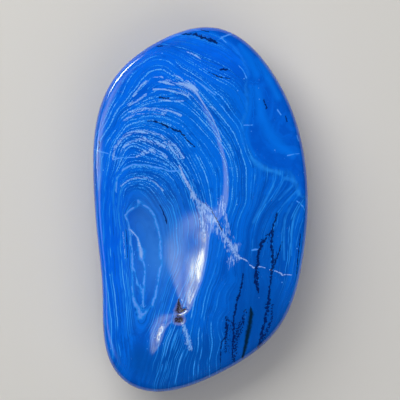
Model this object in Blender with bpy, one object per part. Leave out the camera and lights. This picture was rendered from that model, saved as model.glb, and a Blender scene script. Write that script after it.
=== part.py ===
"""A polished freeform of banded blue amber, lying on its lapped back with its show face up.

Metres, +Z up. The origin is on the resting face, under the middle of the stone. +Y runs to the
rounded top end of the show face and +X to its right-hand edge.
Run it with: blender --background --python part.py
"""

import math

import bmesh
import bpy
import numpy as np

MM = 0.001

# Driving dimensions of the whole stone
STONE_WIDTH = 38.7 * MM
STONE_LENGTH = 65.7 * MM
RIM_HEIGHT = 9.4 * MM  # from the lapped back up to the stone's widest line
RIM_SWAY = 0.4 * MM  # how far the widest line rises and falls, twice on its way round
RIM_SWAY_PHASE = 0.8  # radians; its high places lie half of that clockwise from +X and from -X
EDGE_RISE = 2.35 * MM  # the rounded front edge, from the widest line up to the show face
FACE_DOME = 1.5 * MM  # how far the show face swells above its edge
BACK_FLAT = 0.45  # how much of the way out to the rim the back is lapped flat

# How full each curve is: 2 is an ellipse, and more is flatter in the middle
EDGE_FULLNESS = 44.0
BACK_FULLNESS = 2.3
DOME_SOFTNESS = 1.4

# The widest line, x and y in millimetres, anticlockwise from the middle of the right-hand edge
RIM_POINTS = [
    (19.3, 1.2), (18.5, 10.3), (17.4, 15.4), (15.4, 20.4), (12.7, 25.1), (9.6, 28.7), (7.1, 30.9),
    (5.0, 32.2), (2.6, 32.9), (-2.6, 32.2), (-6.8, 30.5), (-10.7, 28.4), (-14.5, 25.1),
    (-16.8, 21.3), (-18.1, 17.9), (-19.3, 8.9), (-18.9, -0.4), (-18.0, -9.4), (-17.6, -18.4),
    (-17.3, -22.6), (-16.5, -26.6), (-15.0, -29.4), (-13.0, -31.4), (-10.9, -32.5), (-8.2, -32.9),
    (-5.1, -32.4), (-0.1, -31.0), (4.4, -29.1), (8.5, -26.4), (12.2, -23.5), (14.8, -20.1),
    (16.5, -16.5), (18.6, -7.3),
]
RIM_WAVES = 8  # how many harmonics the smooth closed curve past those points has
RIM_SAMPLES = 720  # places on that curve where its size is measured

# The ledge that the polish left in the show face. It runs down the stone, and on its left the face
# falls away down a wall to a lower lobe. Each row is x and y in millimetres, the wall's slope just
# below the crest, and how far in millimetres the wall reaches.
LEDGE = [
    (-6.5, 24.6, 0.02, 1.0),
    (-2.8, 22.4, 0.18, 1.0),
    (0.9, 18.4, 0.34, 0.9),
    (3.4, 13.2, 0.42, 0.8),
    (4.7, 8.6, 0.46, 0.8),
    (5.05, 5.0, 0.46, 0.9),
    (4.95, 1.8, 0.44, 1.2),
    (4.5, -0.5, 0.37, 1.5),
    (3.5, -1.9, 0.28, 2.6),
    (2.4, -3.1, 0.38, 4.6),
    (1.7, -4.4, 0.50, 5.8),
    (1.4, -6.4, 0.57, 6.4),
    (1.0, -9.2, 0.59, 6.2),
    (0.3, -12.6, 0.58, 5.6),
    (-0.9, -15.5, 0.56, 4.6),
    (-1.9, -18.1, 0.54, 2.8),
    (-3.6, -19.5, 0.42, 1.2),
    (-5.6, -20.3, 0.52, 1.2),
    (-6.5, -21.5, 0.67, 1.8),
    (-6.9, -23.2, 0.70, 2.2),
    (-7.7, -24.8, 0.56, 1.7),
    (-8.3, -26.1, 0.05, 1.1),
    (-9.4, -28.6, 0.0, 0.8),
]
LEDGE_SAMPLES = 300
LEDGE_SMOOTHING = 1.1 * MM  # how far its corners are rounded
LEDGE_CREST = 0.12 * MM  # how round the crest is
LEDGE_BLEND = 0.8 * MM  # how widely neighbouring stretches of the ledge are blended
LEDGE_FADE = 4.5 * MM  # how far past its ends the ledge still shows
LEDGE_RIM_POWER = 10  # how late its drop fades out on the way to the rim
LOBE_REACH = 15.0 * MM  # how far from the crest the lower lobe has half risen to the dome again
LOBE_EASE = 5.0 * MM

# The open pit below the wall: an ellipsoid's cut, centred a little above the surface
PIT_CENTRE = (-3.8 * MM, -18.6 * MM)
PIT_HALF_SIZE = (0.85 * MM, 1.80 * MM, 1.0 * MM)
PIT_TURN = math.radians(8)
PIT_LIFT = 0.1 * MM
PIT_SEGMENTS = 16
PIT_RINGS = 10

GRID_CUTS = 24  # cuts across each side of the cube that the stone is shaped from
AMBER = (0.004, 0.13, 0.62, 1.0)
AMBER_ROUGHNESS = 0.12
AMBER_IOR = 1.54


def harmonics(angles):
    """The terms 1, cos(k a), sin(k a) of a Fourier sum, a row for each angle."""
    waves = np.arange(1, RIM_WAVES + 1)
    turns = np.outer(angles, waves)
    return np.hstack([np.ones((len(angles), 1)), np.cos(turns), np.sin(turns)])


def rim_weights():
    """The weights of the smooth closed curve past RIM_POINTS, which has the stone's full size."""
    points = np.array(RIM_POINTS) * MM
    steps = np.linalg.norm(np.roll(points, -1, axis=0) - points, axis=1)
    angles = 2 * math.pi * np.concatenate([[0], np.cumsum(steps)[:-1]]) / steps.sum()
    weights = np.linalg.lstsq(harmonics(angles), points, rcond=None)[0]
    curve = harmonics(np.linspace(0, 2 * math.pi, RIM_SAMPLES)) @ weights
    low, high = curve.min(axis=0), curve.max(axis=0)
    weights[0] -= (low + high) / 2
    return weights * ((STONE_WIDTH, STONE_LENGTH) / (high - low))


def ledge_path():
    """Points along the ledge, with its slope and reach there.

    They lie on the straight runs between the rows of LEDGE, and each is then the mean of its
    neighbours weighted by exp(-(distance / LEDGE_SMOOTHING)^2).
    """
    rows = np.array(LEDGE) * (MM, MM, 1, MM)
    steps = np.linalg.norm(np.diff(rows[:, :2], axis=0), axis=1)
    along = np.concatenate([[0], np.cumsum(steps)])
    wanted = np.linspace(0, along[-1], LEDGE_SAMPLES)
    straight = np.column_stack([np.interp(wanted, along, column) for column in rows.T])
    weights = np.exp(-(((wanted[:, None] - wanted) / LEDGE_SMOOTHING) ** 2))
    return weights @ straight / weights.sum(axis=1, keepdims=True)


def ledge_drop(x, y, path):
    """How far the show face lies below the plain dome at each x, y, because of the ledge.

    With d the distance to the left of the ledge, softened across its crest, s the slope and r the
    reach, the drop is s r tanh(d / r), and it eases back to nothing past LOBE_REACH.
    """
    ahead = np.gradient(path[:, :2], axis=0)
    ahead /= np.linalg.norm(ahead, axis=1, keepdims=True)
    dx = x[:, None] - path[:, 0]
    dy = y[:, None] - path[:, 1]
    gaps = np.hypot(dx, dy)
    share = np.exp(-(gaps - gaps.min(axis=1, keepdims=True)) / LEDGE_BLEND)
    share /= share.sum(axis=1, keepdims=True)
    across = (share * (ahead[:, 1] * dx - ahead[:, 0] * dy)).sum(axis=1)
    slope, reach = share @ path[:, 2], share @ path[:, 3]
    rows, nearest = np.arange(len(x)), gaps.argmin(axis=1)
    beyond = (ahead[:, 0] * dx + ahead[:, 1] * dy)[rows, nearest]
    left = LEDGE_CREST * np.logaddexp(0, across / LEDGE_CREST)
    wall = slope * reach * np.tanh(left / reach)
    risen = 0.5 + 0.5 * np.tanh((left - LOBE_REACH) / LOBE_EASE)
    return wall * (1 - risen) * np.exp(-((beyond / LEDGE_FADE) ** 2))


def stone_points(directions):
    """The stone's surface points for unit directions from its middle, given as an array of rows.

    A direction's horizontal part says how far out to the rim x and y are, as a share of the way.
    The front is the rim's height, plus a rounded edge rise sqrt(1 - share^fullness), plus a dome
    (1 - share^2)^softness, less the ledge's drop. The back rises from its lapped flat as
    1 - sqrt(1 - q^fullness), q running from 0 at the flat to 1 at the rim.
    """
    turn = np.arctan2(directions[:, 1], directions[:, 0])
    share = np.minimum(np.hypot(directions[:, 0], directions[:, 1]), 1)
    rim = harmonics(turn) @ rim_weights()
    x, y = (share[:, None] * rim).T
    rim_z = RIM_HEIGHT + RIM_SWAY * share**2 * np.cos(2 * turn + RIM_SWAY_PHASE)
    edge = EDGE_RISE * np.sqrt(1 - share**EDGE_FULLNESS)
    dome = FACE_DOME * (1 - share**2) ** DOME_SOFTNESS
    drop = ledge_drop(x, y, ledge_path()) * (1 - share**LEDGE_RIM_POWER)
    front = rim_z + edge + dome - drop
    past_flat = np.clip((share - BACK_FLAT) / (1 - BACK_FLAT), 0, 1)
    back = rim_z * (1 - np.sqrt(1 - past_flat**BACK_FULLNESS))
    return np.column_stack([x, y, np.where(directions[:, 2] >= 0, front, back)])


def amber_material():
    material = bpy.data.materials.new("blue_amber")
    material.use_nodes = True
    shader = material.node_tree.nodes["Principled BSDF"]
    shader.inputs["Base Color"].default_value = AMBER
    shader.inputs["Roughness"].default_value = AMBER_ROUGHNESS
    shader.inputs["Metallic"].default_value = 0.0
    shader.inputs["IOR"].default_value = AMBER_IOR
    material.diffuse_color = AMBER
    return material


def add_stone(collection):
    """A cube cut into a fine grid, with each of its points moved onto the stone's surface."""
    shape = bmesh.new()
    bmesh.ops.create_cube(shape, size=2)
    bmesh.ops.subdivide_edges(shape, edges=shape.edges[:], cuts=GRID_CUTS, use_grid_fill=True)
    directions = np.array([vertex.co for vertex in shape.verts])
    directions = np.tan(directions * math.pi / 4)  # even steps of angle across each side
    directions /= np.linalg.norm(directions, axis=1, keepdims=True)
    for vertex, point in zip(shape.verts, stone_points(directions)):
        vertex.co = point
    bmesh.ops.recalc_face_normals(shape, faces=shape.faces)
    mesh = bpy.data.meshes.new("amber_stone")
    shape.to_mesh(mesh)
    shape.free()
    mesh.shade_smooth()
    mesh.materials.append(amber_material())
    stone = bpy.data.objects.new("amber_stone", mesh)
    collection.objects.link(stone)
    return stone


def face_height(x, y):
    """The show face's height at x, y, found from the share of the way out to the rim."""
    shares = np.linspace(0, 0.99, 200)
    turn = math.atan2(y / STONE_LENGTH, x / STONE_WIDTH)
    for _ in range(8):  # the rim's parameter isn't its bearing, so it is turned until it points at x, y
        rim_x, rim_y = (harmonics(np.array([turn])) @ rim_weights())[0]
        turn += math.atan2(y, x) - math.atan2(rim_y, rim_x)
    directions = np.column_stack(
        [shares * math.cos(turn), shares * math.sin(turn), np.sqrt(1 - shares**2)]
    )
    points = stone_points(directions)
    return float(np.interp(math.hypot(x, y), np.hypot(points[:, 0], points[:, 1]), points[:, 2]))


def cut_pit(stone, collection):
    """The pit is cut by an ellipsoid whose middle is just above the show face."""
    x, y = PIT_CENTRE
    shape = bmesh.new()
    bmesh.ops.create_uvsphere(shape, u_segments=PIT_SEGMENTS, v_segments=PIT_RINGS, radius=1)
    bmesh.ops.scale(shape, vec=PIT_HALF_SIZE, verts=shape.verts)
    mesh = bpy.data.meshes.new("pit_cutter")
    shape.to_mesh(mesh)
    shape.free()
    cutter = bpy.data.objects.new("pit_cutter", mesh)
    cutter.location = (x, y, face_height(x, y) + PIT_LIFT)
    cutter.rotation_euler.z = PIT_TURN
    cutter.hide_render = True
    cutter.display_type = "WIRE"
    collection.objects.link(cutter)
    pit = stone.modifiers.new("pit", "BOOLEAN")
    pit.operation = "DIFFERENCE"
    pit.object = cutter


def named_collection(name):
    collection = bpy.data.collections.new(name)
    bpy.context.scene.collection.children.link(collection)
    return collection


def main():
    for old in list(bpy.data.objects):
        bpy.data.objects.remove(old)
    stone = add_stone(named_collection("blue_amber_specimen"))
    cut_pit(stone, named_collection("cutters"))


main()
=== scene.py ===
# The look of a polished freeform of banded blue amber, lying on its lapped back, show face up.
# Lengths in the dictionaries are in millimetres unless a note says otherwise.

import math

import bpy
import numpy as np
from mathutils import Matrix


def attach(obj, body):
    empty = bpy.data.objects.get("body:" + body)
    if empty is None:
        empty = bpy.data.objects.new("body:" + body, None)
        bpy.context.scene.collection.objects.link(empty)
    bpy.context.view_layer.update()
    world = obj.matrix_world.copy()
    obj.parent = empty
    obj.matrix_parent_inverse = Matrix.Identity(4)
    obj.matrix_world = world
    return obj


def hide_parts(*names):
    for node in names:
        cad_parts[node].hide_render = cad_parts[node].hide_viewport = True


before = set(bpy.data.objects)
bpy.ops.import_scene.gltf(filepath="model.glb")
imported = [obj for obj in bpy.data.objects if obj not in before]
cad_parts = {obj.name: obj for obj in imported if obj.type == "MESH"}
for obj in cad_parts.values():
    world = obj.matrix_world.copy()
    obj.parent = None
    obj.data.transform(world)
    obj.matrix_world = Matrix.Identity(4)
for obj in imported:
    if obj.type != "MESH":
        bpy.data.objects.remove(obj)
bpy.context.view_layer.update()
mm = 0.001
blockSize = 8000  # places worked out at a time
print("frame loaded:", sorted(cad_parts))


stone = {
    "width": 38.7,
    "length": 65.7,
    "rimHeight": 9.4,  # from the lapped back up to the widest line
    "rimSway": 0.4,  # how far the widest line rises and falls, twice on its way round
    "swayTurn": 0.8,  # where it does, in radians
    "edgeRise": 2.35,  # the rounded front edge, from the widest line to the show face
    "edgeFullness": 44.0,
    "faceDome": 1.5,
    "domeSoftness": 1.4,
    "backFlat": 0.45,  # share of the way out to the rim that is lapped flat
    "backFullness": 2.3,
    "rimWaves": 8,
    "rimSamples": 720,
    "cells": (146, 248, 30),  # grid squares across, along and up the edge
    "faceReach": 0.93,  # share of the way out where the faces' grids meet the edge's
    # the widest line, x and y, anticlockwise from the middle of the right-hand edge
    "rim": [
        (19.3, 1.2), (18.5, 10.3), (17.4, 15.4), (15.4, 20.4), (12.7, 25.1), (9.6, 28.7),
        (7.1, 30.9), (5.0, 32.2), (2.6, 32.9), (-2.6, 32.2), (-6.8, 30.5), (-10.7, 28.4),
        (-14.5, 25.1), (-16.8, 21.3), (-18.1, 17.9), (-19.3, 8.9), (-18.9, -0.4), (-18.0, -9.4),
        (-17.6, -18.4), (-17.3, -22.6), (-16.5, -26.6), (-15.0, -29.4), (-13.0, -31.4),
        (-10.9, -32.5), (-8.2, -32.9), (-5.1, -32.4), (-0.1, -31.0), (4.4, -29.1), (8.5, -26.4),
        (12.2, -23.5), (14.8, -20.1), (16.5, -16.5), (18.6, -7.3),
    ],
}

ledge = {
    # down the stone: x, y, slope of the wall just below the crest, reach of the wall
    "rows": [
        (-6.5, 24.6, 0.02, 1.0), (-2.8, 22.4, 0.18, 1.0), (0.9, 18.4, 0.34, 0.9),
        (3.4, 13.2, 0.42, 0.8), (4.7, 8.6, 0.46, 0.8), (5.05, 5.0, 0.46, 0.9),
        (4.95, 1.8, 0.44, 1.2), (4.5, -0.5, 0.37, 1.5), (3.5, -1.9, 0.28, 2.6),
        (2.4, -3.1, 0.38, 4.6), (1.7, -4.4, 0.50, 5.8), (1.4, -6.4, 0.57, 6.4),
        (1.0, -9.2, 0.59, 6.2), (0.3, -12.6, 0.58, 5.6), (-0.9, -15.5, 0.56, 4.6),
        (-1.9, -18.1, 0.54, 2.8), (-3.6, -19.5, 0.42, 1.2), (-5.6, -20.3, 0.52, 1.2),
        (-6.5, -21.5, 0.67, 1.8), (-6.9, -23.2, 0.70, 2.2), (-7.7, -24.8, 0.56, 1.7),
        (-8.3, -26.1, 0.05, 1.1), (-9.4, -28.6, 0.0, 0.8),
    ],
    "samples": 300,
    "smoothing": 1.1,  # how far its corners are rounded
    "crest": 0.12,  # how round the crest is
    "blend": 0.8,  # how far apart two stretches of it still merge
    "fade": 4.5,  # how far past its ends it dies away
    "rimFade": 10,  # how late it dies away on the way out to the rim, as a power
    "lobeReach": 15.0,  # where the lower lobe has half risen to the dome again
    "lobeEase": 5.0,
}

pit = {
    # x, y and half width along each hollow
    "hollows": [
        [(-3.87, -15.9, 0.05), (-3.92, -16.8, 0.22), (-3.85, -17.5, 0.38), (-3.92, -18.1, 0.52)],
        [(-3.9, -17.95, 0.38), (-3.3, -18.15, 0.28), (-2.65, -17.8, 0.12)],
        [(-4.12, -19.78, 0.50), (-3.62, -19.76, 0.52)],
    ],
    "depth": 0.85,
    "mouth": 1.25,  # a hollow's edge, in half widths of its line
    "fullWidth": 0.3,  # half width from which a hollow has its full depth
}


def addObject(name, data):
    thing = bpy.data.objects.new(name, data)
    bpy.context.scene.collection.objects.link(thing)
    return thing


def blocks(values):
    # the same values in blocks, so that no table of all the distances gets too big
    return np.array_split(values, max(1, len(values) // blockSize))


def rimTerms(angles):
    # the terms 1, cos(k a), sin(k a) of a Fourier sum, a row for each angle
    turns = np.outer(angles, np.arange(1, stone["rimWaves"] + 1))
    return np.hstack([np.ones((len(angles), 1)), np.cos(turns), np.sin(turns)])


def rimWeights():
    # the weights of the smooth closed curve past the rim's points, scaled to the full size
    points = np.array(stone["rim"])
    steps = np.linalg.norm(np.roll(points, -1, axis=0) - points, axis=1)
    angles = 2 * math.pi * np.concatenate([[0], np.cumsum(steps)[:-1]]) / steps.sum()
    weights = np.linalg.lstsq(rimTerms(angles), points, rcond=None)[0]
    curve = rimTerms(np.linspace(0, 2 * math.pi, stone["rimSamples"])) @ weights
    low, high = curve.min(axis=0), curve.max(axis=0)
    weights[0] -= (low + high) / 2
    return weights * ((stone["width"], stone["length"]) / (high - low))


def ledgePath():
    # points along the ledge with its slope and reach: the straight runs between the rows, each
    # point then the mean of its neighbours weighted by exp(-(distance / smoothing)^2)
    rows = np.array(ledge["rows"])
    steps = np.linalg.norm(np.diff(rows[:, :2], axis=0), axis=1)
    along = np.concatenate([[0], np.cumsum(steps)])
    wanted = np.linspace(0, along[-1], ledge["samples"])
    straight = np.column_stack([np.interp(wanted, along, column) for column in rows.T])
    weights = np.exp(-(((wanted[:, None] - wanted) / ledge["smoothing"]) ** 2))
    return weights @ straight / weights.sum(axis=1, keepdims=True)


def ledgeDrop(x, y):
    # drop = slope reach tanh(left / reach), left being the distance to the left of the crest,
    # softened across it; it eases back to nothing past lobeReach and past the ledge's ends
    path = ledgePath()
    ahead = np.gradient(path[:, :2], axis=0)
    ahead /= np.linalg.norm(ahead, axis=1, keepdims=True)
    drops = []
    for part in blocks(np.arange(len(x))):
        dx = x[part, None] - path[:, 0]
        dy = y[part, None] - path[:, 1]
        gaps = np.hypot(dx, dy)
        share = np.exp(-(gaps - gaps.min(axis=1, keepdims=True)) / ledge["blend"])
        share /= share.sum(axis=1, keepdims=True)
        across = (share * (ahead[:, 1] * dx - ahead[:, 0] * dy)).sum(axis=1)
        slope, reach = share @ path[:, 2], share @ path[:, 3]
        rows, nearest = np.arange(len(part)), gaps.argmin(axis=1)
        beyond = (ahead[:, 0] * dx + ahead[:, 1] * dy)[rows, nearest]
        left = ledge["crest"] * np.logaddexp(0, across / ledge["crest"])
        risen = 0.5 + 0.5 * np.tanh((left - ledge["lobeReach"]) / ledge["lobeEase"])
        wall = slope * reach * np.tanh(left / reach)
        drops.append(wall * (1 - risen) * np.exp(-((beyond / ledge["fade"]) ** 2)))
    return np.concatenate(drops)


def chordOffset(x, y, start, end):
    # from the nearest point of a straight run to each place: dx, dy, and that point's share of the
    # way along, which is the place's projection on the run, held between 0 and 1
    chord = end[:2] - start[:2]
    share = ((x - start[0]) * chord[0] + (y - start[1]) * chord[1]) / (chord @ chord)
    share = np.clip(share, 0, 1)
    return x - start[0] - share * chord[0], y - start[1] - share * chord[1], share


def nearestOffset(x, y, lines):
    # from the nearest line to each place: dx, dy and that line's own half width there
    best = np.full(len(x), np.inf)
    found = np.zeros((3, len(x)))
    for line in lines:
        rows = np.array(line)
        for start, end in zip(rows[:-1], rows[1:]):
            dx, dy, share = chordOffset(x, y, start, end)
            half = start[2] + share * (end[2] - start[2])
            gap = np.hypot(dx, dy) / half
            found = np.where(gap < best, (dx, dy, half), found)
            best = np.minimum(best, gap)
    return found


def pitDepth(x, y):
    # depth sqrt(1 - r^2), r running from a hollow's line out to its mouth, less at narrow ends
    dx, dy, half = nearestOffset(x, y, pit["hollows"])
    r = np.hypot(dx, dy) / (half * pit["mouth"])
    bowl = np.sqrt(np.clip(1 - r**2, 0, 1))
    return pit["depth"] * bowl * np.clip(half / pit["fullWidth"], 0, 1)


def stonePoints(turn, share, isFront):
    # x and y are share times the rim at that turn. The front is the rim's height, plus a rounded
    # edge rise sqrt(1 - share^fullness), plus a dome (1 - share^2)^softness, less the ledge's drop.
    # The back rises from its lapped flat as 1 - sqrt(1 - q^fullness), q running out from the flat.
    x, y = (share[:, None] * (rimTerms(turn) @ rimWeights())).T
    rimZ = stone["rimHeight"] + stone["rimSway"] * share**2 * np.cos(2 * turn + stone["swayTurn"])
    edge = stone["edgeRise"] * np.sqrt(1 - share ** stone["edgeFullness"])
    dome = stone["faceDome"] * (1 - share**2) ** stone["domeSoftness"]
    drop = ledgeDrop(x, y) * (1 - share ** ledge["rimFade"])
    front = rimZ + edge + dome - drop - pitDepth(x, y)
    q = np.clip((share - stone["backFlat"]) / (1 - stone["backFlat"]), 0, 1)
    back = rimZ * (1 - np.sqrt(1 - q ** stone["backFullness"]))
    return np.column_stack([x, y, np.where(isFront, front, back)])


def boxLattice(cells):
    # the surface points of a block of cells, and its squares turned outwards
    nx, ny, nz = cells

    def side(countA, countB, place, flipped):
        a, b = np.meshgrid(np.arange(countA), np.arange(countB), indexing="ij")
        corners = [place(a + da, b + db) for da, db in ((0, 0), (1, 0), (1, 1), (0, 1))]
        squares = np.stack([(i * (ny + 1) + j) * (nz + 1) + k for i, j, k in corners], axis=-1)
        return squares.reshape(-1, 4)[:, :: -1 if flipped else 1]

    squares = np.concatenate([
        side(nx, ny, lambda i, j: (i, j, nz), False),
        side(nx, ny, lambda i, j: (i, j, 0), True),
        side(nx, nz, lambda i, k: (i, 0, k), False),
        side(nx, nz, lambda i, k: (i, ny, k), True),
        side(ny, nz, lambda j, k: (0, j, k), True),
        side(ny, nz, lambda j, k: (nx, j, k), False),
    ])
    used, squares = np.unique(squares, return_inverse=True)
    squares = squares.reshape(-1, 4)
    k = used % (nz + 1)
    j = used // (nz + 1) % (ny + 1)
    i = used // (nz + 1) // (ny + 1)
    return 2 * i / nx - 1, 2 * j / ny - 1, 2 * k / nz - 1, squares


pattern = {
    "lean": (0.42, -0.30),  # millimetres that the layers move sideways for each one back
    "leanStart": 1.6,  # how far below the show face's edge they begin to
    "smoothing": 0.5,
    "slopeStep": 0.2,
    # growth layers, each a level and points on it, from the core outwards
    "guides": [
        (0.2, [(-12, -3), (-11.1, -5), (-10.7, -7.6), (-11.1, -10.9), (-10.7, -13.6),
         (-10.2, -15.9)]),
        (1, [(-13.4, -0.6), (-12.3, 0.8), (-11.1, 1.5), (-9.3, 0.3), (-8, -1.2), (-7.3, -3.7),
         (-7, -7.5), (-7.3, -11.5), (-7.8, -14.5), (-8.8, -16.8), (-9.8, -18.4), (-10.4, -20.1),
         (-11.6, -17.6), (-12.2, -15), (-12.4, -11.5), (-12.6, -7.5), (-12.9, -3.7), (-13.4, -1.7)]),
        (1.4, [(-10.4, -22.1), (-11.1, -25.6), (-11.6, -29.2), (-11.8, -31.8)]),
        (2, [(-12.7, -28.9), (-13, -22.6), (-13.6, -17.2), (-14.1, -11.8), (-14.5, -6.4),
         (-14.7, -1), (-14.5, 3), (-14.2, 4.2), (-13.1, 5.1), (-11.6, 5.6), (-9.8, 5.5), (-8, 4.7),
         (-6.8, 3.4), (-6, 1.9), (-5, 0.6), (-4.2, -2.4), (-4, -7.5), (-4.8, -10.7), (-6.1, -13.8),
         (-6.8, -16.3), (-7.6, -19.9), (-9.1, -24.4), (-10.7, -30.3)]),
        (3, [(-13.8, -28), (-14.3, -22.6), (-14.8, -17.2), (-15.4, -11.8), (-15.7, -6.4),
         (-15.8, -1), (-15.4, 3), (-15, 5.7), (-13.8, 7.2), (-12.1, 8), (-9.8, 8), (-7.8, 7.6),
         (-5.7, 6.6), (-3.9, 3.9), (-2.8, 0.1), (-2.3, -5), (-2.5, -10), (-3.5, -12.9), (-4.8, -15.8),
         (-5.8, -19), (-7.1, -23.1), (-8.4, -27.4), (-9.4, -31.6)]),
        (4, [(-15, -25.6), (-15.8, -19), (-16.5, -11.8), (-16.8, -5.5), (-16.8, 0.8), (-16.5, 5.3),
         (-15.6, 9), (-15, 11.2), (-14.1, 12.7), (-12.3, 13.8), (-9.8, 13.9), (-7.3, 13.3),
         (-5.7, 12.2), (-4.2, 10.7), (-3.5, 9.4), (-2.4, 7.5), (-1, 4), (0.1, 0.4), (0.6, -3.7),
         (0.4, -8.2), (-0.6, -12.7), (-2.1, -16.6), (-3.1, -20.2), (-4.4, -24.4), (-5.8, -28.9)]),
        (5, [(-16.6, -20.2), (-17.6, -11.8), (-18, -5.5), (-17.9, 0.8), (-17.4, 8), (-15.9, 12.5),
         (-14.1, 15.6), (-13.3, 16.3), (-11.6, 17), (-9.8, 17.6), (-7.3, 17.8), (-4.8, 17.4),
         (-2.2, 16.1), (-0.2, 14.1), (1.5, 12), (3, 10), (3.9, 8.2), (4.4, 5.5), (4.2, 3),
         (3.3, -2.8), (2.2, -8.2), (1, -13.6), (-0.3, -19), (-1.2, -24.4), (-2.4, -30.3)]),
        (6, [(-17.4, 12.2), (-15.6, 15.2), (-12.9, 18.8), (-11.6, 20.1), (-9.8, 21.1), (-8.5, 22.2),
         (-6.8, 22.9), (-4.8, 22.6), (-2.8, 22.1), (-0.8, 20.6), (1, 18.6), (2.8, 16.5), (4.4, 14.5),
         (5.8, 12.5), (6.9, 10.5), (7.4, 8), (7.4, 4.2), (6.8, -0.1), (5.1, -5.5), (3.9, -11.5),
         (2.6, -15), (1.5, -18.8), (1.1, -22.6), (0.6, -27.6)]),
        (7, [(-17.6, 15.2), (-15.6, 19.1), (-13.6, 23.1), (-11.6, 25.4), (-9.3, 26.9), (-7.3, 27.4),
         (-5.3, 26.9), (-3.5, 25.5), (-0.7, 23.8), (1.8, 21.6), (4.4, 19.1), (5.8, 17), (7.1, 15),
         (7.8, 12.9), (8.5, 10.7), (9.4, 8.5), (9.6, 5.5), (8.9, 0.8), (7.6, -5.5), (6.4, -12.5),
         (5, -18.1), (4.2, -23.5), (3.7, -28.9)]),
        (8, [(-10.9, 27.6), (-6.8, 29.4), (-4.8, 28.9), (-2.2, 28.2), (0.3, 27.1), (2.8, 25.8),
         (5.3, 24.4), (7.4, 22.6), (8.9, 20.1), (10.2, 16.5), (11.1, 11.6), (11.5, 7), (11.1, 4.4),
         (10.2, 1.6), (9.5, -0.3), (8.9, -2), (8.2, -5.2), (7.4, -11.2), (6.6, -16.3), (5.8, -19.9),
         (5.6, -23.5), (5.5, -27.1)]),
        (9, [(-3.3, 31.8), (-0.4, 31.3), (2.1, 30.5), (4.6, 29.2), (7.1, 26.9), (9.4, 23.7),
         (11.2, 19.7), (12.5, 15.2), (13.2, 10.7), (13.8, 7), (13.4, 4.8), (11.6, 1.7), (10.4, -0.6),
         (9.6, -2.3), (9, -5.2), (8.8, -9.1), (8.9, -14.5), (8.9, -18.6), (8.5, -22.6), (7.7, -26)]),
        (10, [(8.9, 28.3), (12.2, 23.8), (14.3, 19), (15.4, 14.3), (15.8, 9.8), (16.5, 6),
         (16.3, 4.1), (15.2, 3), (14, 1.7), (12.7, 0.6), (11.6, -1.4), (10.8, -3.3), (10.3, -5.2),
         (9.8, -8.2), (9.7, -12)]),
        (10.25, [(11.6, -5.6), (11.3, -8), (11.2, -12), (10.9, -17), (10.3, -21)]),
        (10.5, [(13.2, -2.6), (12.8, -6), (12.7, -11.5), (12.2, -16.1), (11.6, -20.1), (10.4, -24.4)]),
        (11, [(16.5, 1.2), (15.8, -0.1), (15.2, -1.4), (15, -2.8), (14.9, -5.5), (14.8, -9.4),
         (14.2, -13.6), (12.8, -18.8)]),
        (11.5, [(17.6, 0.5), (16.8, -1), (16.5, -2.3), (16.3, -4.6), (16.2, -8.2), (15.3, -13.6)]),
        (12, [(18.9, 0.3), (18.5, -1.9), (17.9, -4.1), (17.4, -6.4), (17, -9.4), (15.9, -14.1),
         (14.2, -18.4)]),
    ],
    # the line that shuts off the clear part at the upper right
    "windowEdge": [
        (4, 30.7), (6.6, 28.9), (8.1, 26.6), (8.6, 24.9), (8.4, 21.9), (8.6, 20.1), (8.6, 18.1),
        (7.8, 15.6), (7.6, 13.6), (8.1, 11.2), (9.6, 9.3), (11.6, 7.7), (14.1, 6.9), (16, 6.9),
        (17.2, 5.6), (17.7, 3.8), (18.4, 2.6), (19.8, 2),
    ],
    "lineReach": (0.42, 2.5),  # a line's field still points to it this far away, or half widths
    "noLine": (0, 0, 9),  # what the field holds further away
}

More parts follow.
